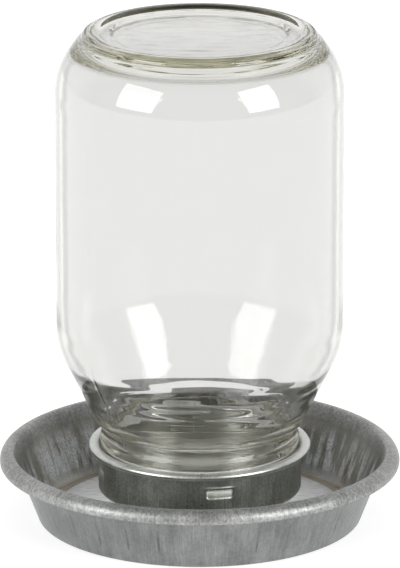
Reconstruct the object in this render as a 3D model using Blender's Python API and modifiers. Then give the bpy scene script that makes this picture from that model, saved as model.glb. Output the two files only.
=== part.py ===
"""Poultry waterer fount: an upside-down glass jar standing in a galvanised drinking tray.

The jar's screw neck sits in a pressed screw collar.  Four rivets hold the collar on a
boss raised in the middle of the tray.  World units are metres, +Z is up, the table is
at z = 0, the common axis is the Z axis and the front of the object faces -Y.
"""
from math import atan, cos, pi, radians, sin, tan

import bmesh
import bpy
from mathutils import Matrix, Vector

MM = 0.001

# ---- turned work ---------------------------------------------------------------------
SEGMENTS = 60
RIVET_SEGMENTS = 16
MERGE = 1e-6

# ---- tray ----------------------------------------------------------------------------
TRAY_SHEET = 0.5 * MM
TRAY_BOSS_TOP_Z = 9.7 * MM
TRAY_BOSS_TOP_R = 21.0 * MM
TRAY_BOSS_FOOT_R = 24.6 * MM
TRAY_BOSS_BEND = 1.5 * MM
TRAY_PANEL_R = 50.6 * MM
TRAY_PANEL_RISE = 1.0 * MM
TRAY_CHANNEL_R = 51.6 * MM
TRAY_FLOOR_R = 56.7 * MM
TRAY_CORNER_BEND = 0.7 * MM
TRAY_WALL_LEAN = radians(20.7)
TRAY_RIM_R = 70.0 * MM
TRAY_RIM_TOP_Z = 24.27 * MM
TRAY_CURL_HALF_HEIGHT = 3.67 * MM
TRAY_CURL_OUTER_HALF = 3.9 * MM
TRAY_CURL_INNER_HALF = 1.75 * MM
TRAY_CURL_END = radians(-12.0)
TRAY_CURL_STEPS = 7

# ---- screw collar --------------------------------------------------------------------
COLLAR_SHEET = 0.45 * MM
COLLAR_BASE_Z = 10.0 * MM
COLLAR_WALL_R = 35.5 * MM
COLLAR_CORNER_BEND = 0.9 * MM
COLLAR_RIM_R = 38.85 * MM
COLLAR_CURL_HALF_HEIGHT = 1.35 * MM
COLLAR_CURL_Z = 25.8 * MM
COLLAR_CURL_END = radians(-115.0)
COLLAR_CURL_STEPS = 9

LUG_COUNT = 4
LUG_FRONT_ANGLE = radians(-78.7)
LUG_FRONT_Z = 19.8 * MM
LUG_WIDTH = 9.8 * MM
LUG_TAB_HEIGHT = 2.7 * MM
LUG_DEPTH = 0.55 * MM
LUG_SLOT_HEIGHT = 0.8 * MM

OUTLET_COUNT = 4
OUTLET_R = 2.5 * MM
OUTLET_CIRCLE_R = 26.4 * MM
OUTLET_SEGMENTS = 20

# ---- rivets --------------------------------------------------------------------------
RIVET_CIRCLE_R = 14.0 * MM
RIVET_ANGLES = [radians(45.0 + 90.0 * i) for i in range(4)]
RIVET_SHANK_R = 1.5 * MM
RIVET_HOLE_R = 1.8 * MM
RIVET_HEAD_R = 3.2 * MM
RIVET_HEAD_HEIGHT = 1.3 * MM
RIVET_TAIL_R = 2.6 * MM
RIVET_TAIL_HEIGHT = 0.9 * MM
RIVET_GAP = 0.2 * MM

# ---- jar -----------------------------------------------------------------------------
JAR_LIP_Z = 10.75 * MM
JAR_LIP_ROUND = 0.9 * MM
JAR_MOUTH_R = 29.9 * MM
JAR_FINISH_R = 33.2 * MM
JAR_BEAD_R = 34.5 * MM
JAR_BEAD_LOW_Z = 26.6 * MM
JAR_BEAD_HIGH_Z = 29.4 * MM
JAR_NECK_R = 33.7 * MM
JAR_NECK_TOP_Z = 33.2 * MM
JAR_SHOULDER_FOOT_R = 35.8 * MM
JAR_SHOULDER_FOOT_Z = 35.0 * MM
JAR_SHOULDER_CORNER_Z = 63.6 * MM
JAR_SHOULDER_BEND = 28.0 * MM
JAR_BODY_R = 50.0 * MM
JAR_WALL = 2.4 * MM
JAR_HEEL_CORNER_Z = 161.3 * MM
JAR_HEEL_BEND = 25.0 * MM
JAR_HEEL_TOP_R = 41.9 * MM
JAR_HEEL_TOP_Z = 172.0 * MM
JAR_TOP_Z = 175.2 * MM
JAR_FOOT_R = 40.6 * MM
JAR_FOOT_CREST_R = 36.5 * MM
JAR_FOOT_STEP_R = 30.8 * MM
JAR_FOOT_INNER_R = 32.6 * MM
JAR_FOOT_INNER_Z = 174.2 * MM
JAR_PANEL_R = 29.8 * MM
JAR_PANEL_Z = 173.4 * MM

THREAD_PITCH = 5.08 * MM
THREAD_TURNS = 1.3
THREAD_START_Z = 17.4 * MM
THREAD_CREST_R = 34.3 * MM
THREAD_ROOT_R = 32.6 * MM
THREAD_BASE_HALF = 1.5 * MM
THREAD_CREST_HALF = 0.6 * MM
THREAD_FADE_STEPS = 5


def clear_objects():
    """Remove every object from the file."""
    for item in list(bpy.data.objects):
        bpy.data.objects.remove(item, do_unlink=True)


def new_collection(name):
    """Make a collection linked to the scene."""
    collection = bpy.data.collections.new(name)
    bpy.context.scene.collection.children.link(collection)
    return collection


def principled(name, color, metallic, roughness, transmission=0.0, ior=1.5):
    """Make a plain Principled material."""
    material = bpy.data.materials.new(name)
    material.use_nodes = True
    shader = material.node_tree.nodes["Principled BSDF"]
    shader.inputs["Base Color"].default_value = (*color, 1.0)
    shader.inputs["Metallic"].default_value = metallic
    shader.inputs["Roughness"].default_value = roughness
    shader.inputs["Transmission Weight"].default_value = transmission
    shader.inputs["IOR"].default_value = ior
    return material


def add_object(name, mesh, collection, material=None):
    """Link a mesh object into a collection."""
    item = bpy.data.objects.new(name, mesh)
    collection.objects.link(item)
    if material is not None:
        mesh.materials.append(material)
    return item


def add_cutter(name, build):
    """Make a wire-displayed helper solid from a bmesh that build() fills in."""
    shape = bmesh.new()
    build(shape)
    bmesh.ops.recalc_face_normals(shape, faces=shape.faces)
    mesh = bpy.data.meshes.new(name)
    shape.to_mesh(mesh)
    shape.free()
    item = add_object(name, mesh, CUTTERS)
    item.hide_render = True
    item.display_type = "WIRE"
    return item


def arc(center_r, center_z, half_r, half_z, start, end, steps):
    """Points on an ellipse in the half plane (r, z), both ends included."""
    points = []
    for i in range(steps + 1):
        angle = start + (end - start) * i / steps
        points.append((center_r + half_r * cos(angle), center_z + half_z * sin(angle)))
    return points


def bend(before, corner, after, radius, steps):
    """Points of a fillet of the given radius where two straight runs meet."""
    corner_point = Vector(corner)
    back = (Vector(before) - corner_point).normalized()
    ahead = (Vector(after) - corner_point).normalized()
    half_angle = back.angle(ahead) / 2.0
    bisector = (back + ahead).normalized()
    center = corner_point + bisector * (radius / sin(half_angle))
    reach = radius / sin(half_angle) * cos(half_angle)
    start = (corner_point + back * reach - center).normalized()
    end = (corner_point + ahead * reach - center).normalized()
    points = []
    for i in range(steps + 1):
        part = i / steps
        swing = start.slerp(end, part) * radius
        points.append(tuple(center + swing))
    return points


def turned(name, points, collection, material, segments):
    """Turn a profile of (r, z) points about the Z axis with a Screw modifier."""
    mesh = bpy.data.meshes.new(name)
    edges = [(i, i + 1) for i in range(len(points) - 1)]
    mesh.from_pydata([(r, 0.0, z) for r, z in points], edges, [])
    item = add_object(name, mesh, collection, material)
    screw = item.modifiers.new("Turn", "SCREW")
    screw.axis = "Z"
    screw.angle = 2.0 * pi
    screw.steps = segments
    screw.render_steps = segments
    screw.use_merge_vertices = True
    screw.merge_threshold = MERGE
    screw.use_smooth_shade = True
    return item


def thicken(item, thickness):
    """Turn a mid-surface into sheet metal of even thickness."""
    solid = item.modifiers.new("Sheet", "SOLIDIFY")
    solid.thickness = thickness
    solid.offset = 0.0
    solid.use_even_offset = True
    solid.use_rim = True


def combine(item, other, operation):
    """Add an exact Boolean between an object and a helper solid."""
    cut = item.modifiers.new(other.name, "BOOLEAN")
    cut.operation = operation
    cut.solver = "EXACT"
    cut.object = other


def peg(name, radius, low, high, circle_r, angle, segments):
    """An upright round helper solid standing on a bolt circle."""
    place = Matrix.Translation((circle_r * cos(angle), circle_r * sin(angle), (low + high) / 2.0))

    def build(shape):
        bmesh.ops.create_cone(
            shape, cap_ends=True, segments=segments,
            radius1=radius, radius2=radius, depth=high - low, matrix=place)

    return add_cutter(name, build)


def tray_middle():
    """Mid-line of the tray from the axis out to the free lip of the rim curl."""
    half = TRAY_SHEET / 2.0
    boss_z = TRAY_BOSS_TOP_Z - half
    panel_z = TRAY_PANEL_RISE + half
    curl_r = TRAY_RIM_R - TRAY_CURL_OUTER_HALF
    curl_z = TRAY_RIM_TOP_Z - TRAY_CURL_HALF_HEIGHT
    half_z = TRAY_CURL_HALF_HEIGHT - half
    inner_half = TRAY_CURL_INNER_HALF - half
    outer_half = TRAY_CURL_OUTER_HALF - half
    tangent = pi - atan(tan(TRAY_WALL_LEAN) * half_z / inner_half)
    inner_curl = arc(curl_r, curl_z, inner_half, half_z, tangent, pi / 2.0, 3)
    outer_curl = arc(curl_r, curl_z, outer_half, half_z, pi / 2.0, TRAY_CURL_END, TRAY_CURL_STEPS)
    axis = (0.0, boss_z)
    boss_edge = (TRAY_BOSS_TOP_R, boss_z)
    boss_foot = (TRAY_BOSS_FOOT_R, panel_z)
    panel_edge = (TRAY_PANEL_R, panel_z)
    floor_edge = (TRAY_FLOOR_R - half * (1.0 + sin(TRAY_WALL_LEAN)), half)
    points = [axis]
    points += bend(axis, boss_edge, boss_foot, TRAY_BOSS_BEND, 2)
    points += bend(boss_edge, boss_foot, panel_edge, TRAY_BOSS_BEND, 2)
    points += [panel_edge, (TRAY_CHANNEL_R, half)]
    points += bend(points[-1], floor_edge, inner_curl[0], TRAY_CORNER_BEND, 2)
    points += inner_curl
    points += outer_curl[1:]
    return points


def collar_middle():
    """Mid-line of the collar from the axis out to the end of the rim curl."""
    half = COLLAR_SHEET / 2.0
    floor_z = COLLAR_BASE_Z + half
    wall_r = COLLAR_WALL_R - half
    curl_half_r = (COLLAR_RIM_R - half - wall_r) / 2.0
    curl_half_z = COLLAR_CURL_HALF_HEIGHT - half
    axis = (0.0, floor_z)
    corner = (wall_r, floor_z)
    wall_top = (wall_r, COLLAR_CURL_Z)
    points = [axis]
    points += bend(axis, corner, wall_top, COLLAR_CORNER_BEND, 3)
    points += arc(
        wall_r + curl_half_r, COLLAR_CURL_Z, curl_half_r, curl_half_z,
        pi, COLLAR_CURL_END, COLLAR_CURL_STEPS)
    return points


def rivet_points():
    """Outline of a set rivet from the crown of its head down to its tail."""
    head_z = COLLAR_BASE_Z + COLLAR_SHEET + RIVET_GAP
    tail_z = TRAY_BOSS_TOP_Z - TRAY_SHEET - RIVET_GAP
    crown = arc(0.0, head_z, RIVET_HEAD_R, RIVET_HEAD_HEIGHT, pi / 2.0, 0.0, 4)
    return crown + [
        (RIVET_SHANK_R, head_z),
        (RIVET_SHANK_R, tail_z),
        (RIVET_TAIL_R, tail_z),
        (RIVET_TAIL_R * 0.85, tail_z - RIVET_TAIL_HEIGHT),
        (0.0, tail_z - RIVET_TAIL_HEIGHT),
    ]


def jar_outer_points():
    """Outside of the jar from the middle of its base down to the lip."""
    base = [
        (0.0, JAR_PANEL_Z - 0.8 * MM),
        (0.6 * JAR_PANEL_R, JAR_PANEL_Z - 0.5 * MM),
        (JAR_PANEL_R, JAR_PANEL_Z),
        (JAR_FOOT_STEP_R, JAR_FOOT_INNER_Z - 0.1 * MM),
        (JAR_FOOT_INNER_R, JAR_FOOT_INNER_Z),
        (JAR_FOOT_CREST_R - 1.0 * MM, JAR_TOP_Z - 0.15 * MM),
        (JAR_FOOT_CREST_R, JAR_TOP_Z),
        (JAR_FOOT_CREST_R + 2.0 * MM, JAR_TOP_Z - 0.3 * MM),
        (JAR_FOOT_R - 0.8 * MM, JAR_TOP_Z - 1.0 * MM),
        (JAR_FOOT_R, JAR_TOP_Z - 1.9 * MM),
        (JAR_FOOT_R + 0.2 * MM, JAR_TOP_Z - 2.6 * MM),
        (JAR_HEEL_TOP_R, JAR_HEEL_TOP_Z),
    ]
    heel_corner = (JAR_BODY_R, JAR_HEEL_CORNER_Z)
    shoulder_corner = (JAR_BODY_R, JAR_SHOULDER_CORNER_Z)
    shoulder_foot = (JAR_SHOULDER_FOOT_R, JAR_SHOULDER_FOOT_Z)
    body = bend(base[-1], heel_corner, shoulder_corner, JAR_HEEL_BEND, 6)
    body += bend(heel_corner, shoulder_corner, shoulder_foot, JAR_SHOULDER_BEND, 5)
    neck = [
        shoulder_foot,
        (JAR_NECK_R, JAR_NECK_TOP_Z),
        (JAR_NECK_R, JAR_BEAD_HIGH_Z + 0.8 * MM),
        (JAR_BEAD_R, JAR_BEAD_HIGH_Z),
        (JAR_BEAD_R, JAR_BEAD_LOW_Z),
        (JAR_FINISH_R, JAR_BEAD_LOW_Z - 0.8 * MM),
        (JAR_FINISH_R, JAR_LIP_Z + 1.6 * MM),
        (JAR_FINISH_R - 0.4 * MM, JAR_LIP_Z + JAR_LIP_ROUND),
        (JAR_FINISH_R - 1.1 * MM, JAR_LIP_Z),
    ]
    return base + body + neck


def jar_inner_points():
    """Inside of the jar from the lip up to the middle of its base."""
    body = JAR_BODY_R - JAR_WALL
    return [
        (JAR_MOUTH_R + 0.8 * MM, JAR_LIP_Z),
        (JAR_MOUTH_R, JAR_LIP_Z + JAR_LIP_ROUND),
        (JAR_MOUTH_R, 31.8 * MM),
        (31.4 * MM, 34.6 * MM),
        (35.8 * MM, 40.6 * MM),
        (40.4 * MM, 50.2 * MM),
        (44.4 * MM, 58.0 * MM),
        (46.8 * MM, 64.0 * MM),
        (body, 70.0 * MM),
        (body, 150.0 * MM),
        (47.0 * MM, 157.0 * MM),
        (45.4 * MM, 161.4 * MM),
        (42.6 * MM, 165.0 * MM),
        (38.0 * MM, 167.2 * MM),
        (31.0 * MM, 167.8 * MM),
        (18.0 * MM, 167.4 * MM),
        (0.0, 167.2 * MM),
    ]


def thread_ridge():
    """The raised screw thread, a helical bar sunk into the neck."""
    steps = round(SEGMENTS * THREAD_TURNS)

    def build(shape):
        rings = []
        for i in range(steps + 1):
            angle = 2.0 * pi * i / SEGMENTS
            height = THREAD_START_Z + THREAD_PITCH * i / SEGMENTS
            fade = min(1.0, (min(i, steps - i) + 1.0) / THREAD_FADE_STEPS)
            crest_r = JAR_FINISH_R + (THREAD_CREST_R - JAR_FINISH_R) * fade
            section = [
                (THREAD_ROOT_R, THREAD_BASE_HALF),
                (JAR_FINISH_R, THREAD_BASE_HALF),
                (crest_r, THREAD_CREST_HALF),
                (crest_r, -THREAD_CREST_HALF),
                (JAR_FINISH_R, -THREAD_BASE_HALF),
                (THREAD_ROOT_R, -THREAD_BASE_HALF),
            ]
            rings.append([
                shape.verts.new((r * cos(angle), r * sin(angle), height + offset))
                for r, offset in section])
        for ring, following in zip(rings, rings[1:]):
            for j in range(len(ring)):
                k = (j + 1) % len(ring)
                shape.faces.new((ring[j], ring[k], following[k], following[j]))
        shape.faces.new(rings[0])
        shape.faces.new(rings[-1])

    return add_cutter("thread_ridge", build)


def half_dome(name, face_r, depth, width, height, angle, top_z):
    """The lower half of a flattened dome lying against a round wall."""
    place = (
        Matrix.Rotation(angle, 4, "Z")
        @ Matrix.Translation((face_r, 0.0, top_z))
        @ Matrix.Diagonal((depth, width / 2.0, height, 1.0)))

    def build(shape):
        bmesh.ops.create_uvsphere(shape, u_segments=16, v_segments=8, radius=1.0)
        split = bmesh.ops.bisect_plane(
            shape, geom=shape.verts[:] + shape.edges[:] + shape.faces[:],
            plane_co=(0.0, 0.0, 0.0), plane_no=(0.0, 0.0, 1.0), clear_outer=True)
        rim = [piece for piece in split["geom_cut"] if isinstance(piece, bmesh.types.BMEdge)]
        bmesh.ops.contextual_create(shape, geom=rim)
        bmesh.ops.transform(shape, matrix=place, verts=shape.verts)

    return add_cutter(name, build)


def slot(name, angle, low):
    """A long low block that lances a slot through the collar wall."""
    place = (
        Matrix.Rotation(angle, 4, "Z")
        @ Matrix.Translation((COLLAR_WALL_R, 0.0, low + LUG_SLOT_HEIGHT / 2.0))
        @ Matrix.Diagonal((4.0 * MM, LUG_WIDTH, LUG_SLOT_HEIGHT, 1.0)))

    def build(shape):
        bmesh.ops.create_cube(shape, size=1.0, matrix=place)

    return add_cutter(name, build)


def press_lugs(collar):
    """Lance a slot for each lug and press the metal below it inwards."""
    inner_r = COLLAR_WALL_R - COLLAR_SHEET
    for i in range(LUG_COUNT):
        turn = i - 1
        angle = LUG_FRONT_ANGLE + 2.0 * pi * turn / LUG_COUNT
        top_z = LUG_FRONT_Z + THREAD_PITCH * turn / LUG_COUNT
        bulge = half_dome(
            f"lug_bulge_{i + 1}", inner_r, LUG_DEPTH, LUG_WIDTH * 0.96, LUG_TAB_HEIGHT, angle, top_z)
        hollow = half_dome(
            f"lug_hollow_{i + 1}", COLLAR_WALL_R, LUG_DEPTH, LUG_WIDTH, LUG_TAB_HEIGHT, angle, top_z)
        combine(collar, bulge, "UNION")
        combine(collar, hollow, "DIFFERENCE")
        combine(collar, slot(f"lug_slot_{i + 1}", angle, top_z - 0.06 * MM), "DIFFERENCE")


def drill(item, name, radius, circle_r, angles, low, high, segments):
    """Drill a ring of round holes through a sheet."""
    for i, angle in enumerate(angles):
        combine(item, peg(f"{name}_{i + 1}", radius, low, high, circle_r, angle, segments), "DIFFERENCE")


def build_tray():
    """Drinking tray with its raised boss and curled rim."""
    tray = turned("tray_pan", tray_middle(), PARTS, GALVANISED_TRAY, SEGMENTS)
    thicken(tray, TRAY_SHEET)
    drill(
        tray, "tray_rivet_hole", RIVET_HOLE_R, RIVET_CIRCLE_R, RIVET_ANGLES,
        TRAY_BOSS_TOP_Z - 3.0 * MM, TRAY_BOSS_TOP_Z + 1.0 * MM, RIVET_SEGMENTS)


def build_collar():
    """Screw collar with its lanced lugs, water outlets and rivet holes."""
    collar = turned("screw_collar", collar_middle(), PARTS, GALVANISED_COLLAR, SEGMENTS)
    thicken(collar, COLLAR_SHEET)
    press_lugs(collar)
    outlet_angles = [2.0 * pi * i / OUTLET_COUNT for i in range(OUTLET_COUNT)]
    drill(
        collar, "outlet_hole", OUTLET_R, OUTLET_CIRCLE_R, outlet_angles,
        COLLAR_BASE_Z - 1.0 * MM, COLLAR_BASE_Z + 2.0 * MM, OUTLET_SEGMENTS)
    drill(
        collar, "collar_rivet_hole", RIVET_HOLE_R, RIVET_CIRCLE_R, RIVET_ANGLES,
        COLLAR_BASE_Z - 1.0 * MM, COLLAR_BASE_Z + 2.0 * MM, RIVET_SEGMENTS)


def build_rivets():
    """Four rivets through the collar floor and the tray boss."""
    for i, angle in enumerate(RIVET_ANGLES):
        rivet = turned(f"rivet_{i + 1}", rivet_points(), PARTS, RIVET_METAL, RIVET_SEGMENTS)
        rivet.location = (RIVET_CIRCLE_R * cos(angle), RIVET_CIRCLE_R * sin(angle), 0.0)


def build_jar():
    """Glass jar, open end down, with its screw thread."""
    outline = jar_outer_points() + jar_inner_points()
    jar = turned("fount_jar", outline, PARTS, JAR_GLASS, SEGMENTS)
    combine(jar, thread_ridge(), "UNION")


clear_objects()
PARTS = new_collection("poultry_waterer_fount")
CUTTERS = new_collection("cutters")
CUTTERS.hide_render = True
GALVANISED_TRAY = principled("galvanised_tray", (0.50, 0.51, 0.50), 1.0, 0.42)
GALVANISED_COLLAR = principled("galvanised_collar", (0.42, 0.43, 0.41), 1.0, 0.38)
RIVET_METAL = principled("rivet_metal", (0.60, 0.60, 0.61), 1.0, 0.35)
JAR_GLASS = principled("jar_glass", (0.93, 0.95, 0.91), 0.0, 0.03, transmission=1.0)
build_tray()
build_collar()
build_rivets()
build_jar()
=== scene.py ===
"""Poultry waterer fount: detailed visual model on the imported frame."""

from math import atan2, cos, exp, pi, radians, sin, tan, tau

import bmesh
import bpy
from mathutils import Matrix, Vector, noise


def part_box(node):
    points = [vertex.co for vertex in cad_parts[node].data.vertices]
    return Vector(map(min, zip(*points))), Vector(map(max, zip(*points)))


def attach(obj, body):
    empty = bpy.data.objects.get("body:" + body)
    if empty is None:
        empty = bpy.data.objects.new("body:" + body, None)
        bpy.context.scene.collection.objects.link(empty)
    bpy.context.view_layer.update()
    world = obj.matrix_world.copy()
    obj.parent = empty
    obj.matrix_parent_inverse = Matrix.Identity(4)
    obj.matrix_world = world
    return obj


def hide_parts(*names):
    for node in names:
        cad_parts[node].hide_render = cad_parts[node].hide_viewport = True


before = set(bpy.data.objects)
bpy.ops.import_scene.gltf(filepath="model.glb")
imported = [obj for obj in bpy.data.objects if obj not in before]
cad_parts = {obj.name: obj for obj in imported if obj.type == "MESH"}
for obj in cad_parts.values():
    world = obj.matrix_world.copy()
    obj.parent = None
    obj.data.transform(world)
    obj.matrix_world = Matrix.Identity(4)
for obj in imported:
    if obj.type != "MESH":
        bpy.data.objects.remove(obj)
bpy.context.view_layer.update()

MM = 0.001
ON_AXIS = 1e-7
GLASS_BOUNCES = 32

# ---- places read from the frame ---------------------------------------------------------
TRAY_LOW, TRAY_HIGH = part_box("tray_pan")
COLLAR_LOW, COLLAR_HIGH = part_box("screw_collar")
JAR_LOW, JAR_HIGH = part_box("fount_jar")
RIVETS = [f"rivet_{i}" for i in range(1, 5)]

TRAY_R = TRAY_HIGH[0]
TRAY_TOP = TRAY_HIGH[2]
COLLAR_R = COLLAR_HIGH[0]
COLLAR_BASE = COLLAR_LOW[2]
COLLAR_TOP = COLLAR_HIGH[2]
JAR_R = JAR_HIGH[0]
JAR_LIP = JAR_LOW[2]
JAR_TOP = JAR_HIGH[2]

PITCH = 5.08 * MM
FRONT = -pi / 2.0
SEAM_ANGLES = (FRONT - radians(49.7), FRONT + radians(130.3))


# ---- curves in the half plane (r, z) -----------------------------------------------------
def smooth_curve(knots, step):
    """Points about one step apart on a Catmull-Rom curve through the knots."""
    points = [Vector(k) for k in knots]
    padded = [2 * points[0] - points[1]] + points + [2 * points[-1] - points[-2]]
    out = []
    for i in range(1, len(padded) - 2):
        p0, p1, p2, p3 = padded[i - 1:i + 3]
        count = max(1, round((p2 - p1).length / step))
        for j in range(count):
            t = j / count
            out.append(0.5 * (
                2 * p1 + (p2 - p0) * t + (2 * p0 - 5 * p1 + 4 * p2 - p3) * t * t
                + (3 * p1 - p0 - 3 * p2 + p3) * t * t * t))
    out.append(points[-1])
    return [(p.x, p.y) for p in out]


def arc(center, half_r, half_z, start, end, steps):
    """Points on an ellipse, both ends included."""
    out = []
    for i in range(steps + 1):
        angle = start + (end - start) * i / steps
        out.append((center[0] + half_r * cos(angle), center[1] + half_z * sin(angle)))
    return out


def bend(before, corner, after, radius, steps):
    """Points of a fillet where two straight runs meet."""
    corner_point = Vector(corner)
    back = (Vector(before) - corner_point).normalized()
    ahead = (Vector(after) - corner_point).normalized()
    half_angle = back.angle(ahead) / 2.0
    center = corner_point + (back + ahead).normalized() * (radius / sin(half_angle))
    reach = radius / sin(half_angle) * cos(half_angle)
    start = (corner_point + back * reach - center).normalized()
    end = (corner_point + ahead * reach - center).normalized()
    return [tuple(center + start.slerp(end, i / steps) * radius) for i in range(steps + 1)]


def line(start, end, steps):
    """Evenly spaced points between two ends, without the ends."""
    out = []
    for i in range(1, steps):
        t = i / steps
        out.append((start[0] + (end[0] - start[0]) * t, start[1] + (end[1] - start[1]) * t))
    return out


def offset_pair(middle, thickness):
    """Both faces of a sheet of the given mid-line: out along one, back along the other."""
    points = [Vector(p) for p in middle]
    runs = [(b - a).normalized() for a, b in zip(points, points[1:])]
    near = []
    far = []
    for i, point in enumerate(points):
        before = runs[max(i - 1, 0)]
        after = runs[min(i, len(runs) - 1)]
        across = Vector((-(before + after).y, (before + after).x)).normalized()
        reach = thickness / 2.0 / max(0.5, across.dot(Vector((-after.y, after.x))))
        near.append(tuple(point + across * reach))
        far.append(tuple(point - across * reach))
    return near + far[::-1]


# ---- meshes -------------------------------------------------------------------------------
def finish_piece(name, shape, material, body, nodes):
    """Turn a bmesh into a smooth-shaded piece on its body in place of its CAD nodes."""
    mesh = bpy.data.meshes.new(name)
    shape.to_mesh(mesh)
    shape.free()
    mesh.shade_smooth()
    mesh.materials.append(material)
    piece = bpy.data.objects.new(name, mesh)
    bpy.context.scene.collection.objects.link(piece)
    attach(piece, body)
    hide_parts(*nodes)
    return piece


def as_drawn(angle, r, z):
    """The plainest way to turn a profile: every point stays where it is drawn."""
    return r, z


def ring_of(shape, angles, point, move):
    """One ring of vertices; move(angle, r, z) gives each its (r, z).  A point on the axis is a pole."""
    r, z = point
    if r < ON_AXIS:
        return [shape.verts.new((0.0, 0.0, z))]
    ring = []
    for angle in angles:
        moved_r, moved_z = move(angle, r, z)
        ring.append(shape.verts.new((moved_r * cos(angle), moved_r * sin(angle), moved_z)))
    return ring


def turned(profile, angles, move=as_drawn):
    """Turn a profile about Z."""
    shape = bmesh.new()
    rings = [ring_of(shape, angles, point, move) for point in profile]
    for near, far in zip(rings, rings[1:]):
        join_rings(shape, near, far)
    return shape


def join_rings(shape, near, far):
    """Faces between two rings; a ring of one point is a pole, a finer ring is fanned."""
    if len(near) == 1 and len(far) == 1:
        return
    if len(near) == 1:
        for j in range(len(far)):
            shape.faces.new((near[0], far[j], far[(j + 1) % len(far)]))
        return
    if len(far) == 1:
        for j in range(len(near)):
            shape.faces.new((near[(j + 1) % len(near)], near[j], far[0]))
        return
    if len(near) == len(far):
        for j in range(len(near)):
            k = (j + 1) % len(near)
            shape.faces.new((near[k], near[j], far[j], far[k]))
        return
    if len(far) > len(near):
        ratio = len(far) // len(near)
        for j in range(len(near)):
            k = (j + 1) % len(near)
            fine = [far[(j * ratio + m) % len(far)] for m in range(ratio + 1)]
            shape.faces.new([near[k], near[j]] + fine)
        return
    ratio = len(near) // len(far)
    for j in range(len(far)):
        k = (j + 1) % len(far)
        fine = [near[(j * ratio + m) % len(near)] for m in range(ratio + 1)]
        shape.faces.new(fine[::-1] + [far[j], far[k]])


def even_angles(count):
    """Angles evenly spaced round a full turn."""
    return [tau * i / count for i in range(count)]


def bump(x, half_width):
    """A smooth hump of height 1 that falls to 0 at half_width."""
    t = min(1.0, abs(x) / half_width)
    return 0.5 + 0.5 * cos(pi * t)


def wrap(angle):
    """The same angle between -pi and pi."""
    return atan2(sin(angle), cos(angle))


# ---- the jar ------------------------------------------------------------------------------
JAR_SEGMENTS = 288
STIPPLE_FINENESS = 4
STIPPLE_ROWS = (37.3 * MM, 39.2 * MM)
STIPPLE_HALF_WIDTH = 0.85 * MM
STIPPLE_DEPTH = 0.22 * MM
BODY_R = JAR_R - 0.08 * MM
WALL_R = JAR_R - 2.4 * MM
MID_BODY_Z = 120.0 * MM
HEEL_CORNER = (BODY_R, JAR_TOP - 13.9 * MM)
HEEL_BEND = 25.0 * MM
SHOULDER_CORNER = (BODY_R, 63.6 * MM)
SHOULDER_FOOT = (36.2 * MM, 35.6 * MM)
SHOULDER_BEND = 28.0 * MM
THREAD_START = JAR_LIP + 6.65 * MM
THREAD_TURNS = 1.3
THREAD_HEIGHT = 1.05 * MM
THREAD_HALF_WIDTH = 1.7 * MM
THREAD_FADE = 0.06
FINISH_TOP = JAR_LIP + 14.5 * MM


def jar_angles():
    """Angles round the jar, gathered closer at the two mould seams."""
    angles = []
    for angle in even_angles(JAR_SEGMENTS):
        pull = 0.0
        for seam in SEAM_ANGLES:
            away = wrap(angle - seam)
            pull -= 0.55 * away * exp(-(away / radians(3.0)) ** 2)
        angles.append(angle + pull)
    return angles


def below_top(drops):
    """Points given as (r in mm, depth below the jar's highest point in mm)."""
    return [(r * MM, JAR_TOP - drop * MM) for r, drop in drops]


def above_lip(rises):
    """Points given as (r in mm, height above the jar's lip in mm)."""
    return [(r * MM, JAR_LIP + rise * MM) for r, rise in rises]


def jar_outer():
    """Outside of the jar: the base panel, its stippled foot, and all below down to the lip."""
    panel = below_top([
        (0.0, 2.6), (9.0, 2.55), (18.0, 2.35), (25.0, 2.05), (28.8, 1.88), (29.7, 1.78),
        (30.3, 1.55), (30.9, 1.38), (31.6, 1.32), (32.4, 1.3)])
    foot = below_top([
        (32.4, 1.3), (33.3, 1.24), (34.1, 0.98), (34.9, 0.42), (35.6, 0.11), (36.5, 0.02),
        (38.0, 0.16), (39.3, 0.62), (40.15, 1.25), (40.6, 2.0)])
    heel = below_top([
        (40.6, 2.0), (40.75, 2.55), (41.2, 2.95), (41.9, 3.35), (43.1, 4.7), (44.15, 6.2)])
    mid_body = (BODY_R, MID_BODY_Z)
    heel_round = bend(heel[-1], HEEL_CORNER, mid_body, HEEL_BEND, 16)
    shoulder_round = bend(mid_body, SHOULDER_CORNER, SHOULDER_FOOT, SHOULDER_BEND, 14)
    slope = line(shoulder_round[-1], SHOULDER_FOOT, 22)
    neck = above_lip([
        (36.2, 24.85), (35.3, 24.0), (34.5, 23.2), (34.0, 22.4), (33.85, 21.5), (33.9, 20.5),
        (34.2, 19.7), (34.6, 19.1), (34.75, 18.2), (34.7, 16.6), (34.1, 15.6), (33.2, 14.9),
        (33.2, 9.3), (33.2, 4.0), (33.15, 1.9), (32.8, 0.75), (32.2, 0.15), (31.6, 0.0)])
    return (
        smooth_curve(panel, 0.5 * MM)[:-1],
        smooth_curve(foot, 0.26 * MM),
        smooth_curve(heel, 0.35 * MM)[1:-1] + heel_round + line(heel_round[-1], shoulder_round[0], 24)
        + shoulder_round + slope + smooth_curve(neck, 0.3 * MM),
    )


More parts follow.
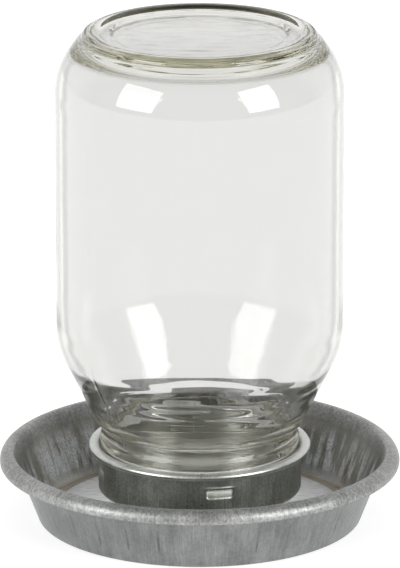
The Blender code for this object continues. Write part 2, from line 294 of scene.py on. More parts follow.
def jar_inner():
    """Inside of the jar from the lip up to the middle of its base."""
    mouth = above_lip([
        (31.2, 0.0), (30.3, 0.4), (29.9, 1.3), (29.9, 9.0), (29.9, 19.0), (30.3, 22.0),
        (31.6, 24.4), (33.6, 27.0), (35.8, 30.3), (38.1, 34.9), (40.6, 39.9), (43.1, 44.6),
        (45.3, 49.0), (46.8, 53.8), (47.45, 59.3)]) + [(WALL_R, 76.0 * MM)]
    top = [(WALL_R, 146.0 * MM)] + below_top([
        (47.55, 23.4), (47.0, 17.9), (45.5, 13.2), (42.9, 9.4), (39.6, 7.3), (35.6, 6.5),
        (30.0, 6.3), (22.0, 6.5), (11.0, 6.8), (0.0, 6.9)])
    return smooth_curve(mouth, 0.9 * MM) + line(mouth[-1], top[0], 22) + smooth_curve(top, 1.4 * MM)


def seam_height(angle, z):
    """Height of the fine raised line that each mould seam leaves."""
    if z > JAR_TOP - 5.0 * MM or z < 31.0 * MM:
        return 0.0
    return sum(0.06 * MM * bump(wrap(angle - seam), radians(0.45)) for seam in SEAM_ANGLES)


def thread_height(angle, z):
    """Height of the screw thread above the finish."""
    turn = (angle % tau) / tau
    height = 0.0
    for whole in (0, 1, 2):
        along = turn + whole
        if along > THREAD_TURNS:
            continue
        fade = min(1.0, along / THREAD_FADE, (THREAD_TURNS - along) / THREAD_FADE)
        ridge = bump(z - THREAD_START - PITCH * along, THREAD_HALF_WIDTH) ** 0.75
        height = max(height, THREAD_HEIGHT * fade * ridge)
    return height


def waviness(angle, waves, seed):
    """Unevenness round the jar, with about the given number of waves in a turn."""
    scale = waves / tau
    return noise.noise(Vector((cos(angle) * scale, sin(angle) * scale, seed)))


def outside(angle, r, z):
    """Outer face: seams, screw thread, the fine rings of the neck mould, a slightly wavy shoulder."""
    r += seam_height(angle, z)
    if z < FINISH_TOP:
        return r + thread_height(angle, z), z
    rings = sin(tau * z / (0.95 * MM) + 1.5 * waviness(angle, 9, 4.0))
    r += 0.025 * MM * bump(z - 33.0 * MM, 5.0 * MM) * rings
    r += 0.06 * MM * bump(z - 46.0 * MM, 18.0 * MM) * waviness(angle, 9, z / (1.8 * MM))
    return r, z


def inside(angle, r, z):
    """The free-blown inner face: nearly even up the side, wavy where the shoulder turns in."""
    r += 0.03 * MM * waviness(angle, 6, z / (30.0 * MM))
    r += 0.12 * MM * bump(z - 37.5 * MM, 5.5 * MM) * waviness(angle, 34, 1.0 + z / (14.0 * MM))
    r += 0.16 * MM * bump(z - 50.0 * MM, 17.0 * MM) * waviness(angle, 12, 5.0 + z / (2.6 * MM))
    r += 0.07 * MM * bump(z - 30.0 * MM, 7.0 * MM) * waviness(angle, 14, 9.0 + z / (1.3 * MM))
    return r, z


def base_ripple(angle, r, z):
    """Slight unevenness of the moulded base panel."""
    place = Vector((r * cos(angle), 2.2 * r * sin(angle), 0.0)) / (9.0 * MM)
    return r, z + 0.09 * MM * noise.noise(place)


def jar_shape():
    """The jar as one closed glass body; its foot has finer rings, one dimple to a segment."""
    angles = jar_angles()
    gap_depth = {}
    for j, angle in enumerate(angles):
        gap = (angles[(j + 1) % len(angles)] - angle) % tau
        for m in range(STIPPLE_FINENESS):
            gap_depth[angle + gap * m / STIPPLE_FINENESS] = cos(pi * m / STIPPLE_FINENESS) ** 2

    def stipple(angle, r, z):
        rows = sum(bump(r - row, STIPPLE_HALF_WIDTH) for row in STIPPLE_ROWS)
        return r, z - STIPPLE_DEPTH * rows * gap_depth[angle]

    panel, foot, rest = jar_outer()
    shape = bmesh.new()
    rings = [ring_of(shape, angles, point, base_ripple) for point in panel]
    rings += [ring_of(shape, gap_depth, point, stipple) for point in foot]
    rings += [ring_of(shape, angles, point, outside) for point in rest]
    rings += [ring_of(shape, angles, point, inside) for point in jar_inner()]
    for near, far in zip(rings, rings[1:]):
        join_rings(shape, near, far)
    return shape


# ---- the tray -----------------------------------------------------------------------------
TRAY_SHEET = 0.5 * MM
BOSS_TOP_R = 21.0 * MM
BOSS_FOOT_R = 24.6 * MM
BOSS_BEND = 1.5 * MM
BOSS_GAP = 0.3 * MM
PANEL_R = 51.0 * MM
PANEL_RISE = 1.0 * MM
CHANNEL_R = 51.5 * MM
WALL_LEAN = radians(20.7)
FLOOR_EDGE_R = 56.7 * MM
CURL_HALF_Z = 3.67 * MM
CURL_OUTER_HALF = 3.9 * MM
CURL_INNER_HALF = 1.75 * MM
CURL_END = radians(-12.0)
TRAY_SEGMENTS = 594
DRAW_MARKS = 33
DRAW_MARK_SHIFT = radians(2.6)


def tray_middle():
    """Mid-line of the tray sheet from the axis out to the free lip of its curl."""
    half = TRAY_SHEET / 2.0
    boss_z = COLLAR_BASE - BOSS_GAP - half
    panel_z = PANEL_RISE + half
    center = (TRAY_R - CURL_OUTER_HALF, TRAY_TOP - CURL_HALF_Z)
    half_z = CURL_HALF_Z - half
    inner_half = CURL_INNER_HALF - half
    tangent = pi - atan2(tan(WALL_LEAN) * half_z, inner_half)
    inner_curl = arc(center, inner_half, half_z, tangent, pi / 2.0, 8)
    outer_curl = arc(center, CURL_OUTER_HALF - half, half_z, pi / 2.0, CURL_END, 22)
    axis = (0.0, boss_z)
    boss_edge = (BOSS_TOP_R, boss_z)
    boss_foot = (BOSS_FOOT_R, panel_z)
    panel_edge = (PANEL_R, panel_z)
    channel = (CHANNEL_R, half)
    floor_edge = (FLOOR_EDGE_R - half * (1.0 + sin(WALL_LEAN)), half)
    points = [axis] + line(axis, boss_edge, 4)[:-1]
    points += bend(axis, boss_edge, boss_foot, BOSS_BEND, 6)
    points += bend(boss_edge, boss_foot, panel_edge, BOSS_BEND, 6)
    points += line(points[-1], (PANEL_R - 1.0 * MM, panel_z), 8)
    points += bend(boss_foot, panel_edge, channel, 0.55 * MM, 5)
    points += bend(panel_edge, channel, floor_edge, 0.5 * MM, 5)
    points += line(points[-1], (FLOOR_EDGE_R - 1.4 * MM, half), 3)
    points += bend(channel, floor_edge, inner_curl[0], 0.9 * MM, 7)
    points += line(points[-1], inner_curl[0], 26) + inner_curl + outer_curl[1:]
    return points


def tray_shape():
    """Drawn sheet tray with short draw marks low on its wall and a slightly uneven rim."""
    def dent(angle, seed, scale):
        return 0.5 + 0.5 * noise.noise(Vector((cos(angle), sin(angle), seed)) * scale)

    def hand_worn(angle, r, z):
        if 3.0 * MM < z < 17.0 * MM and r > 40.0 * MM:
            phase = (angle - FRONT + DRAW_MARK_SHIFT) / tau * DRAW_MARKS
            strength = 0.6 + 0.4 * noise.noise(Vector((round(phase) * 1.7, 0.0, 0.0)))
            crease = bump(phase - round(phase), 0.09) * bump(z - 10.0 * MM, 6.0 * MM)
            r -= 0.09 * MM * strength * crease
        if r > 57.0 * MM and z > 3.0 * MM:
            rise = min(1.0, z / TRAY_TOP)
            r -= 0.10 * MM * rise * dent(angle, 0.3, 2.4)
            r -= 0.03 * MM * rise * dent(angle, 0.7, 16.0)
        return r, z

    return turned(offset_pair(tray_middle(), TRAY_SHEET), even_angles(TRAY_SEGMENTS), hand_worn)


# ---- the collar ---------------------------------------------------------------------------
COLLAR_SHEET = 0.45 * MM
COLLAR_WALL_R = 35.5 * MM
COLLAR_CURL_HALF_Z = 1.35 * MM
COLLAR_CURL_END = radians(-118.0)
LUG_FRONT_ANGLE = radians(-78.7)
LUG_TOP_Z = COLLAR_BASE + 9.8 * MM
LUG_HALF_WIDTH = 4.9 * MM
LUG_HEIGHT = 2.75 * MM
LUG_DEPTH = 0.56 * MM
LUG_REACH = radians(9.5)
TAB_CORNER = 1.2 * MM
TAB_RISE = 1.5 * MM
OUTLETS = 4
OUTLET_R = 2.5 * MM
OUTLET_CIRCLE_R = 26.4 * MM
SLOT_WIDTH = 8.6 * MM
SLOT_HEIGHT = 0.75 * MM
LIP_HEIGHT = 0.20 * MM


def collar_middle():
    """Mid-line of the collar sheet from the axis out to the end of its curl."""
    half = COLLAR_SHEET / 2.0
    floor_z = COLLAR_BASE + half
    wall_r = COLLAR_WALL_R - half
    curl_half_r = (COLLAR_R - half - wall_r) / 2.0
    curl_z = COLLAR_TOP - COLLAR_CURL_HALF_Z
    curl_half_z = COLLAR_CURL_HALF_Z - half
    axis = (0.0, floor_z)
    corner = (wall_r, floor_z)
    wall_top = (wall_r, curl_z)
    lug_zone = [(wall_r, COLLAR_BASE + 5.0 * MM), (wall_r, COLLAR_BASE + 13.6 * MM)]
    points = [axis] + line(axis, (34.0 * MM, floor_z), 7)
    points += bend(axis, corner, wall_top, 0.9 * MM, 6)
    points += line(points[-1], lug_zone[0], 4) + [lug_zone[0]]
    points += line(lug_zone[0], lug_zone[1], 34) + [lug_zone[1]]
    points += line(lug_zone[1], wall_top, 3)
    center = (wall_r + curl_half_r, curl_z)
    points += arc(center, curl_half_r, curl_half_z, pi, COLLAR_CURL_END, 20)
    return points


def lug_places():
    """Angle and top height of each lug, stepped a quarter pitch from one to the next."""
    quarters = (-1, 0, 1, 2)
    return [(LUG_FRONT_ANGLE + tau * q / 4, LUG_TOP_Z + PITCH * q / 4) for q in quarters]


def collar_angles():
    """Angles round the collar, closer across each lug."""
    angles = []
    for lug_angle, top in lug_places():
        angles += [lug_angle + LUG_REACH * i / 28 for i in range(-28, 28)]
        rest = tau / 4 - 2.0 * LUG_REACH
        angles += [lug_angle + LUG_REACH + rest * i / 44 for i in range(44)]
    return angles


def tab_depth(across, down):
    """How far a tab is pressed in, at a place measured from the middle of its top edge."""
    half_height = (LUG_HEIGHT + TAB_RISE) / 2.0
    side = abs(across) - (LUG_HALF_WIDTH - TAB_CORNER)
    end = abs(down + TAB_RISE - half_height) - (half_height - TAB_CORNER)
    gap = TAB_CORNER - Vector((max(side, 0.0), max(end, 0.0))).length - min(max(side, end), 0.0)
    face = max(0.0, min(1.0, gap / (0.55 * MM)))
    lean = 1.0 - 0.72 * max(0.0, down) / LUG_HEIGHT
    return LUG_DEPTH * lean * face * face * (3.0 - 2.0 * face)


def press_lugs(angle, r, z):
    """Tabs pressed inwards below the slots, with a raised lip above each slot."""
    if not COLLAR_WALL_R - COLLAR_SHEET - 0.1 * MM < r < COLLAR_WALL_R + 0.1 * MM:
        return r, z
    for lug_angle, top in lug_places():
        across = wrap(angle - lug_angle) * COLLAR_WALL_R
        above = z - top
        if abs(across) > 7.0 * MM or z < COLLAR_BASE + 4.0 * MM:
            continue
        if above < SLOT_HEIGHT / 2.0:
            r -= tab_depth(across, -above)
        elif above < SLOT_HEIGHT + 1.3 * MM:
            lip = bump(above - SLOT_HEIGHT - 0.45 * MM, 0.7 * MM)
            r += LIP_HEIGHT * lip * bump(across, 6.4 * MM) ** 0.4
    return r, z


def helper(name, shape):
    """A hidden solid used by a Boolean."""
    bmesh.ops.recalc_face_normals(shape, faces=shape.faces)
    mesh = bpy.data.meshes.new(name)
    shape.to_mesh(mesh)
    shape.free()
    item = bpy.data.objects.new(name, mesh)
    bpy.context.scene.collection.objects.link(item)
    item.hide_render = True
    return item


def slot_block(name, angle, low):
    """The round-ended block that lances a lug's slot."""
    half = SLOT_HEIGHT / 2.0
    place = (
        Matrix.Rotation(angle, 4, "Z") @ Matrix.Translation((COLLAR_WALL_R, 0.0, low + half))
        @ Matrix.Rotation(pi / 2.0, 4, "Y"))
    shape = bmesh.new()
    bmesh.ops.create_cone(
        shape, cap_ends=True, segments=16, radius1=half, radius2=half, depth=4.0 * MM)
    for vert in shape.verts:
        vert.co.y += (SLOT_WIDTH / 2.0 - half) * (1.0 if vert.co.y > 0.0 else -1.0)
    bmesh.ops.transform(shape, matrix=place, verts=shape.verts)
    return helper(name, shape)


def outlet_block(name, angle):
    """The upright peg that makes a water outlet in the collar's floor."""
    low = COLLAR_BASE - 1.0 * MM
    high = COLLAR_BASE + 2.0 * MM
    place = Matrix.Translation((
        OUTLET_CIRCLE_R * cos(angle), OUTLET_CIRCLE_R * sin(angle), (low + high) / 2.0))
    shape = bmesh.new()
    bmesh.ops.create_cone(
        shape, cap_ends=True, segments=48, radius1=OUTLET_R, radius2=OUTLET_R,
        depth=high - low, matrix=place)
    return helper(name, shape)


def bake_cuts(piece, helpers):
    """Cut the helper solids out of the piece for good, and remove them."""
    for other in helpers:
        modifier = piece.modifiers.new(other.name, "BOOLEAN")
        modifier.operation = "DIFFERENCE"
        modifier.solver = "EXACT"
        modifier.object = other
    graph = bpy.context.evaluated_depsgraph_get()
    mesh = bpy.data.meshes.new_from_object(piece.evaluated_get(graph))
    piece.modifiers.clear()
    old = piece.data
    piece.data = mesh
    bpy.data.meshes.remove(old)
    for item in helpers:
        bpy.data.objects.remove(item, do_unlink=True)


def cut_collar(collar):
    """Lance the four slots and drill the four water outlets."""
    helpers = [slot_block(f"slot_{i}", angle, top) for i, (angle, top) in enumerate(lug_places())]
    helpers += [outlet_block(f"outlet_{i}", angle) for i, angle in enumerate(even_angles(OUTLETS))]
    bake_cuts(collar, helpers)


# ---- rivets -------------------------------------------------------------------------------
RIVET_SHANK_R = 1.5 * MM
RIVET_TAIL_R = 2.6 * MM
RIVET_GAP = 0.2 * MM


def rivet_shape(node):
    """A set rivet between the lowest and highest point of its CAD node."""
    low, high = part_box(node)
    center = (Vector(low) + Vector(high)) / 2.0
    head_z = COLLAR_BASE + COLLAR_SHEET + RIVET_GAP
    tail_z = COLLAR_BASE - BOSS_GAP - TRAY_SHEET - RIVET_GAP
    head_r = (high[0] - low[0]) / 2.0
    profile = arc((0.0, head_z), head_r, high[2] - head_z, pi / 2.0, 0.0, 12)
    profile[0] = (0.0, high[2])
    profile += [(RIVET_SHANK_R, head_z), (RIVET_SHANK_R, tail_z), (RIVET_TAIL_R, tail_z)]
    profile += [
        (RIVET_TAIL_R - 0.05 * MM, tail_z - 0.6 * MM), (RIVET_TAIL_R - 0.4 * MM, low[2]), (0.0, low[2])]
    shape = turned(profile, even_angles(48))
    bmesh.ops.translate(shape, verts=shape.verts, vec=(center[0], center[1], 0.0))
    return shape


# ---- materials ----------------------------------------------------------------------------
class Nodes:
    """Short way to write a material's node tree."""

    def __init__(self, name):
        self.material = bpy.data.materials.new(name)
        self.material.use_nodes = True
        self.tree = self.material.node_tree
        self.tree.nodes.clear()
        self.output = self.add("ShaderNodeOutputMaterial")

    def add(self, kind, **settings):
        """A new node with some of its properties set."""
        node = self.tree.nodes.new(kind)
        for key, value in settings.items():
            setattr(node, key, value)
        return node

    def link(self, source, target):
        """A wire from an output to an input."""
        self.tree.links.new(source, target)

    def math(self, operation, a, b=None):
        """One arithmetic step on sockets or plain numbers."""
        node = self.add("ShaderNodeMath", operation=operation)
        for socket, value in zip(node.inputs, (a, b)):
            if value is None:
                continue
            if isinstance(value, (int, float)):
                socket.default_value = value
            else:
                self.link(value, socket)
        return node.outputs[0]

    def blend(self, *parts):
        """The sum of several values, each times its share."""
        total = self.math("MULTIPLY", *parts[0])
        for value, share in parts[1:]:
            total = self.math("ADD", total, self.math("MULTIPLY", value, share))
        return total

    def noise(self, vector, scale, detail=3.0, roughness=0.5):
        """Soft noise with about the given number of features to the unit."""
        node = self.add("ShaderNodeTexNoise")
        node.inputs["Scale"].default_value = scale
        node.inputs["Detail"].default_value = detail
        node.inputs["Roughness"].default_value = roughness
        self.link(vector, node.inputs["Vector"])
        return node.outputs["Fac"]

    def spread(self, value, low, high, to_low, to_high):
        """A value moved from one range to another, held at both ends."""
        node = self.add("ShaderNodeMapRange")
        for socket, amount in zip(list(node.inputs)[1:5], (low, high, to_low, to_high)):
            socket.default_value = amount
        self.link(value, node.inputs[0])
        return node.outputs[0]

    def ramp(self, value, low, dark, high, light):
        """Two colours blended between two values."""
        node = self.add("ShaderNodeValToRGB")
        for element, place, color in zip(node.color_ramp.elements, (low, high), (dark, light)):
            element.position = place
            element.color = (*color, 1.0)
        self.link(value, node.inputs[0])
        return node.outputs[0]

    def tint(self, color, other, amount, kind="MIX"):
        """A colour mixed with, or multiplied by, another where amount is 1."""
        node = self.add("ShaderNodeMix", data_type="RGBA", blend_type=kind)
        self.link(amount, node.inputs["Factor"])
        self.link(color, node.inputs[6])
        node.inputs[7].default_value = (*other, 1.0)
        return node.outputs[2]

    def all_of(self, *values):
        """The product of several masks."""
        product = values[0]
        for value in values[1:]:
            product = self.math("MULTIPLY", product, value)
        return product

    def stretched(self, vector, factors):
        """Coordinates scaled by a different amount on each axis."""
        node = self.add("ShaderNodeVectorMath", operation="MULTIPLY")
        self.link(vector, node.inputs[0])
        node.inputs[1].default_value = factors
        return node.outputs[0]

    def cylindrical(self):
        """Object coordinates, then the radius, angle and height about the Z axis."""
        place = self.add("ShaderNodeTexCoord").outputs["Object"]
        parts = self.add("ShaderNodeSeparateXYZ")
        self.link(place, parts.inputs[0])
        x, y, z = parts.outputs
        square = self.math("ADD", self.math("MULTIPLY", x, x), self.math("MULTIPLY", y, y))
        radius = self.math("SQRT", square)
        return place, radius, self.math("ARCTAN2", y, x), z

    def streaks(self, radius, angle, z, per_turn, stretch, detail=3.0):
        """Noise drawn out across the sheet: fine round the axis, long up the wall."""
        along = self.add("ShaderNodeCombineXYZ")
        for i, part in enumerate(("COSINE", "SINE")):
            self.link(self.math("MULTIPLY", self.math(part, angle), per_turn / tau), along.inputs[i])
        travel = self.math("ADD", radius, z)
        self.link(self.math("DIVIDE", travel, stretch), along.inputs[2])
        return self.noise(along.outputs[0], 1.0, detail, 0.6)


def zinc_surface(n, color, rough, relief, bump_distance):
    """The metal shader that ends every zinc material."""
    shader = n.add("ShaderNodeBsdfPrincipled")
    shader.inputs["Metallic"].default_value = 1.0
    n.link(color, shader.inputs["Base Color"])
    n.link(rough, shader.inputs["Roughness"])
    bumpy = n.add("ShaderNodeBump")
    bumpy.inputs["Strength"].default_value = 0.5
    bumpy.inputs["Distance"].default_value = bump_distance
    n.link(relief, bumpy.inputs["Height"])
    n.link(bumpy.outputs[0], shader.inputs["Normal"])
    n.link(shader.outputs[0], n.output.inputs["Surface"])


def tray_regions(n, radius, z):
    """Masks for the tray's outer wall, inner wall, rim, floor and channel."""
    beyond_wall = n.math("SUBTRACT", radius, n.math("MULTIPLY", z, tan(WALL_LEAN)))
    outer = n.spread(beyond_wall, 56.3 * MM, 56.5 * MM, 0.0, 1.0)
    not_outer = n.math("SUBTRACT", 1.0, outer)
    outer_wall = n.all_of(outer, n.spread(z, 18.0 * MM, 20.5 * MM, 1.0, 0.0))
    inner_wall = n.all_of(
        not_outer, n.spread(radius, 56.5 * MM, 57.5 * MM, 0.0, 1.0),
        n.spread(z, 19.0 * MM, 22.5 * MM, 1.0, 0.0))
    rim = n.spread(z, 18.5 * MM, 21.5 * MM, 0.0, 1.0)
    ground = n.all_of(
        n.spread(radius, 54.5 * MM, 56.5 * MM, 1.0, 0.0), n.spread(z, 1.7 * MM, 2.2 * MM, 1.0, 0.0))
    channel = n.all_of(
        n.spread(z, 0.8 * MM, 1.3 * MM, 1.0, 0.0),
        n.spread(radius, 51.0 * MM, 51.8 * MM, 0.0, 1.0), not_outer)
    return outer_wall, inner_wall, rim, ground, channel


def tray_zinc():
    """Galvanised drawn sheet with painted shade on its walls, rim, draw creases and channel, a grained
    rim, painted reflection streaks and stains inside.
    """
    n = Nodes("tray_zinc")
    place, radius, angle, z = n.cylindrical()
    outer_wall, inner_wall, rim, ground, channel = tray_regions(n, radius, z)
    fine = n.streaks(radius, angle, z, 900.0, 9.0 * MM)
    hair = n.streaks(radius, angle, z, 2600.0, 5.0 * MM, 2.0)
    broad = n.streaks(radius, angle, z, 110.0, 30.0 * MM)
    cloud = n.noise(place, 120.0, 4.0, 0.6)
    mottle = n.noise(place, 1500.0, 3.0, 0.6)
    grain = n.noise(place, 1000.0, 4.0, 0.7)
    patch = n.noise(place, 55.0, 3.0, 0.6)
    scratch = n.noise(n.stretched(place, (1.0, 9.0, 1.0)), 260.0, 4.0, 0.65)

    tone = n.blend((fine, 0.35), (broad, 0.30), (cloud, 0.20), (hair, 0.15))
    color = n.ramp(tone, 0.38, (0.36, 0.365, 0.36), 0.62, (0.60, 0.605, 0.60))
    # Painted shade: the outer wall, inner wall and rim get separate darkening factors that stand in for
    # how differently each is lit.
    color = n.tint(color, (0.58, 0.59, 0.59), outer_wall, "MULTIPLY")
    color = n.tint(color, (0.55, 0.54, 0.50), inner_wall, "MULTIPLY")
    color = n.tint(color, (0.87, 0.87, 0.86), rim, "MULTIPLY")
    speck = n.all_of(
        n.spread(grain, 0.40, 0.58, 0.75, 0.0), n.spread(z, 18.0 * MM, 21.0 * MM, 0.4, 1.0))
    color = n.tint(color, (0.52, 0.52, 0.51), speck, "MULTIPLY")
    dull = n.spread(patch, 0.42, 0.60, 0.6, 0.0)
    color = n.tint(color, (0.70, 0.71, 0.71), dull, "MULTIPLY")
    worn = n.all_of(ground, n.spread(scratch, 0.36, 0.60, 0.45, 1.0))
    color = n.tint(color, (0.95, 0.96, 0.96), worn)

    # Painted shade: dark lines are painted along the draw creases of the outer wall.
    turn = n.math("MULTIPLY", n.math("ADD", angle, DRAW_MARK_SHIFT - FRONT), DRAW_MARKS / tau)
    painted_crease_shade = n.all_of(
        outer_wall, n.spread(n.math("PINGPONG", turn, 0.5), 0.0, 0.055, 1.0, 0.0),
        n.spread(z, 4.0 * MM, 7.0 * MM, 0.0, 1.0), n.spread(z, 10.0 * MM, 16.0 * MM, 1.0, 0.0),
        n.spread(broad, 0.40, 0.56, 0.15, 1.0))
    color = n.tint(color, (0.45, 0.45, 0.45), painted_crease_shade, "MULTIPLY")

    # Painted reflection: light bluish streaks on the inner wall stand in for lamp light reflected off
    # its wrinkles.
    painted_reflection_streaks = n.all_of(
        inner_wall, n.spread(broad, 0.45, 0.56, 0.0, 1.0), n.spread(mottle, 0.40, 0.56, 0.30, 1.0),
        n.spread(z, 1.5 * MM, 5.0 * MM, 0.0, 1.0), n.spread(z, 13.0 * MM, 18.5 * MM, 1.0, 0.0))
    color = n.tint(color, (0.66, 0.68, 0.71), painted_reflection_streaks)
    stain = n.all_of(
        n.math("SUBTRACT", 1.0, outer_wall), n.spread(cloud, 0.52, 0.66, 0.0, 0.55),
        n.spread(radius, 49.0 * MM, 53.0 * MM, 0.25, 1.0), n.spread(z, 14.0 * MM, 20.0 * MM, 1.0, 0.0))
    color = n.tint(color, (0.42, 0.31, 0.20), stain, "MULTIPLY")
    # Painted shade: the low channel round the raised floor panel is darkened.
    color = n.tint(color, (0.62, 0.55, 0.46), channel, "MULTIPLY")

    rough = n.spread(n.blend((broad, 0.5), (cloud, 0.5)), 0.35, 0.65, 0.30, 0.46)
    rough = n.blend((rough, 1.0), (n.math("MAXIMUM", rim, ground), 0.10), (painted_reflection_streaks, 0.20))
    relief = n.blend((fine, 0.55), (hair, 0.30), (mottle, 0.15))
    zinc_surface(n, color, rough, relief, 0.10 * MM)
    return n.material


def collar_zinc():
    """Duller greenish zinc of the collar: fine lines up its wall, a rubbed curl, and an inside painted
    much lighter as painted light.
    """
    n = Nodes("collar_zinc")
    place, radius, angle, z = n.cylindrical()
    fine = n.streaks(radius, angle, z, 700.0, 14.0 * MM)
    broad = n.streaks(radius, angle, z, 40.0, 20.0 * MM)
    cloud = n.noise(place, 150.0, 4.0, 0.6)
    mottle = n.noise(place, 1800.0, 2.0, 0.6)
    grain = n.noise(place, 1200.0, 4.0, 0.7)

    tone = n.blend((fine, 0.5), (broad, 0.25), (cloud, 0.25))
    color = n.ramp(tone, 0.38, (0.39, 0.41, 0.38), 0.62, (0.64, 0.66, 0.61))
    color = n.tint(color, (0.60, 0.60, 0.58), n.spread(grain, 0.40, 0.58, 0.6, 0.0), "MULTIPLY")
    rubbed = n.all_of(
        n.spread(z, COLLAR_TOP - 3.2 * MM, COLLAR_TOP - 2.4 * MM, 0.0, 1.0),
        n.spread(cloud, 0.40, 0.60, 0.2, 0.8))
    color = n.tint(color, (0.56, 0.56, 0.55), rubbed)
    # Painted light: the collar's inside is painted near white to stand in for light scattered inside
    # it.
    painted_light_inside = n.all_of(
        n.spread(radius, 34.9 * MM, 35.3 * MM, 1.0, 0.0),
        n.spread(z, COLLAR_BASE, COLLAR_BASE + 0.2 * MM, 0.0, 1.0))
    color = n.tint(color, (0.97, 0.98, 0.91), n.math("MULTIPLY", painted_light_inside, 0.95))

    rough = n.spread(n.math("ADD", broad, cloud), 0.7, 1.3, 0.26, 0.40)
    rough = n.blend((rough, 1.0), (painted_light_inside, 0.22))
    relief = n.blend((fine, 0.7), (mottle, 0.3))
    zinc_surface(n, color, rough, relief, 0.06 * MM)
    return n.material


def rivet_zinc():
    """Bright hammered rivet metal."""
    n = Nodes("rivet_zinc")
    place = n.add("ShaderNodeTexCoord").outputs["Object"]
    cloud = n.noise(place, 500.0, 3.0, 0.6)
    mottle = n.noise(place, 2500.0, 2.0, 0.6)
    color = n.ramp(cloud, 0.38, (0.42, 0.42, 0.42), 0.62, (0.62, 0.62, 0.62))
    zinc_surface(n, color, n.spread(mottle, 0.35, 0.65, 0.25, 0.42), mottle, 0.08 * MM)
    return n.material


def glass():
    """Clear jar glass, greyed at a grazing angle by painted shade, that turns olive where it is thick.
    """
    n = Nodes("jar_glass_visual")
    shader = n.add("ShaderNodeBsdfPrincipled")
    grazing = n.add("ShaderNodeLayerWeight")
    grazing.inputs["Blend"].default_value = 0.5
    # Painted shade: the base colour darkens at a grazing angle, putting grey lines along the jar's
    # edges.
    color = n.ramp(grazing.outputs["Facing"], 0.70, (0.808, 0.808, 0.808), 0.78, (0.36, 0.36, 0.36))
    n.link(color, shader.inputs["Base Color"])
    shader.inputs["Roughness"].default_value = 0.0
    shader.inputs["IOR"].default_value = 1.5
    shader.inputs["Transmission Weight"].default_value = 1.0
    place = n.add("ShaderNodeTexCoord").outputs["Object"]
    bumpy = n.add("ShaderNodeBump")
    bumpy.inputs["Strength"].default_value = 0.06
    bumpy.inputs["Distance"].default_value = 0.4 * MM
    n.link(n.noise(place, 60.0, 2.0, 0.5), bumpy.inputs["Height"])
    n.link(bumpy.outputs[0], shader.inputs["Normal"])
    absorb = n.add("ShaderNodeVolumeAbsorption")
    absorb.inputs["Color"].default_value = (0.84, 0.83, 0.74, 1.0)
    absorb.inputs["Density"].default_value = 42.0
    n.link(shader.outputs[0], n.output.inputs["Surface"])
    n.link(absorb.outputs[0], n.output.inputs["Volume"])
    return n.material


# ---- pieces -------------------------------------------------------------------------------
TRAY_ZINC = tray_zinc()
COLLAR_ZINC = collar_zinc()
RIVET_ZINC = rivet_zinc()
GLASS = glass()

finish_piece("tray", tray_shape(), TRAY_ZINC, "base", ["tray_pan"])
collar = finish_piece(
    "collar", turned(offset_pair(collar_middle(), COLLAR_SHEET), collar_angles(), press_lugs),
    COLLAR_ZINC, "base", ["screw_collar"])
cut_collar(collar)
for node in RIVETS:
    finish_piece(f"{node}_set", rivet_shape(node), RIVET_ZINC, "base", [node])
finish_piece("jar", jar_shape(), GLASS, "jar", ["fount_jar"])


# ---- stage --------------------------------------------------------------------------------
def floor():
    """Plain pale floor, lit partly from within like a white light table."""
    shape = bmesh.new()
    bmesh.ops.create_grid(shape, x_segments=1, y_segments=1, size=40.0)
    mesh = bpy.data.meshes.new("floor")
    shape.to_mesh(mesh)
    shape.free()
    item = bpy.data.objects.new("floor", mesh)
    item.location.z = TRAY_LOW[2] - 0.02 * MM
    bpy.context.scene.collection.objects.link(item)
    n = Nodes("pale_floor")
    shader = n.add("ShaderNodeBsdfPrincipled")
    shader.inputs["Base Color"].default_value = (0.55, 0.55, 0.55, 1.0)
    shader.inputs["Roughness"].default_value = 1.0
    shader.inputs["Specular IOR Level"].default_value = 0.0
    shader.inputs["Emission Color"].default_value = (1.0, 1.0, 1.0, 1.0)
    shader.inputs["Emission Strength"].default_value = 0.62
    n.link(shader.outputs[0], n.output.inputs["Surface"])
    mesh.materials.append(n.material)


def softbox(name, azimuth, elevation, wide, tall, radiance):
    """A distant rectangular studio lamp of a given angular size.  Azimuth 0 is in front."""
    distance = 12.0
    lamp = bpy.data.lights.new(name, "AREA")
    lamp.shape = "RECTANGLE"
    lamp.size = 2.0 * distance * tan(radians(wide) / 2.0)
    lamp.size_y = 2.0 * distance * tan(radians(tall) / 2.0)
    lamp.energy = radiance * pi * lamp.size * lamp.size_y
    item = bpy.data.objects.new(name, lamp)
    a, e = radians(azimuth), radians(elevation)
    way = Vector((sin(a) * cos(e), -cos(a) * cos(e), sin(e)))
    item.location = Vector((0.0, 0.0, 0.1)) + way * distance
    item.rotation_euler = way.to_track_quat("Z", "Y").to_euler()
    item.visible_camera = False
    bpy.context.scene.collection.objects.link(item)


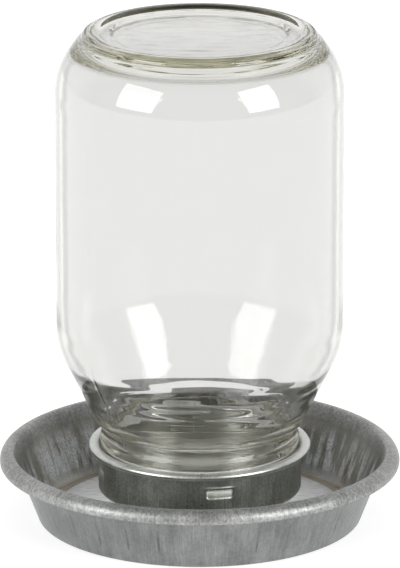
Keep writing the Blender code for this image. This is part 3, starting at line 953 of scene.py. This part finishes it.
def surroundings():
    """A pale studio: white behind the object, dimmer overhead and behind the camera."""
    world = bpy.data.worlds.new("studio")
    bpy.context.scene.world = world
    world.use_nodes = True
    tree = world.node_tree
    tree.nodes.clear()
    coords = tree.nodes.new("ShaderNodeTexCoord")
    parts = tree.nodes.new("ShaderNodeSeparateXYZ")
    tree.links.new(coords.outputs["Generated"], parts.inputs[0])

    def fade(value, low, high, to_low, to_high):
        node = tree.nodes.new("ShaderNodeMapRange")
        node.interpolation_type = "SMOOTHSTEP"
        for socket, amount in zip(list(node.inputs)[1:5], (low, high, to_low, to_high)):
            socket.default_value = amount
        tree.links.new(value, node.inputs[0])
        return node.outputs[0]

    both = tree.nodes.new("ShaderNodeMath")
    both.operation = "MULTIPLY"
    tree.links.new(fade(parts.outputs["Z"], 0.75, 0.95, 1.0, 0.0), both.inputs[0])
    tree.links.new(fade(parts.outputs["Y"], 0.10, 0.50, 0.0, 1.0), both.inputs[1])
    lift = tree.nodes.new("ShaderNodeMapRange")
    for socket, amount in zip(list(lift.inputs)[1:5], (0.0, 1.0, 0.55, 1.05)):
        socket.default_value = amount
    tree.links.new(both.outputs[0], lift.inputs[0])
    glow = tree.nodes.new("ShaderNodeBackground")
    tree.links.new(lift.outputs[0], glow.inputs["Color"])
    glow.inputs["Strength"].default_value = 1.0
    out = tree.nodes.new("ShaderNodeOutputWorld")
    tree.links.new(glow.outputs[0], out.inputs["Surface"])


def camera():
    """The long lens, a little above the jar's middle."""
    data = bpy.data.cameras.new("camera")
    data.sensor_width = 36.0
    data.lens = 365.2
    data.clip_start = 0.1
    data.clip_end = 100.0
    item = bpy.data.objects.new("camera", data)
    elevation = radians(17.0)
    target = Vector((0.0001, 0.0, 0.08413))
    way = Vector((0.0, -cos(elevation), sin(elevation)))
    item.location = target + way * 2.0
    item.rotation_euler = way.to_track_quat("Z", "Y").to_euler()
    bpy.context.scene.collection.objects.link(item)
    bpy.context.scene.camera = item


floor()
softbox("softbox_left", azimuth=-54.0, elevation=25.0, wide=32.0, tall=34.0, radiance=5.5)
softbox("softbox_right", azimuth=53.0, elevation=25.0, wide=27.0, tall=34.0, radiance=7.0)
surroundings()
camera()
bpy.context.scene.view_settings.view_transform = "Standard"
for kind in ("max_bounces", "glossy_bounces", "transmission_bounces"):
    setattr(bpy.context.scene.cycles, kind, GLASS_BOUNCES)
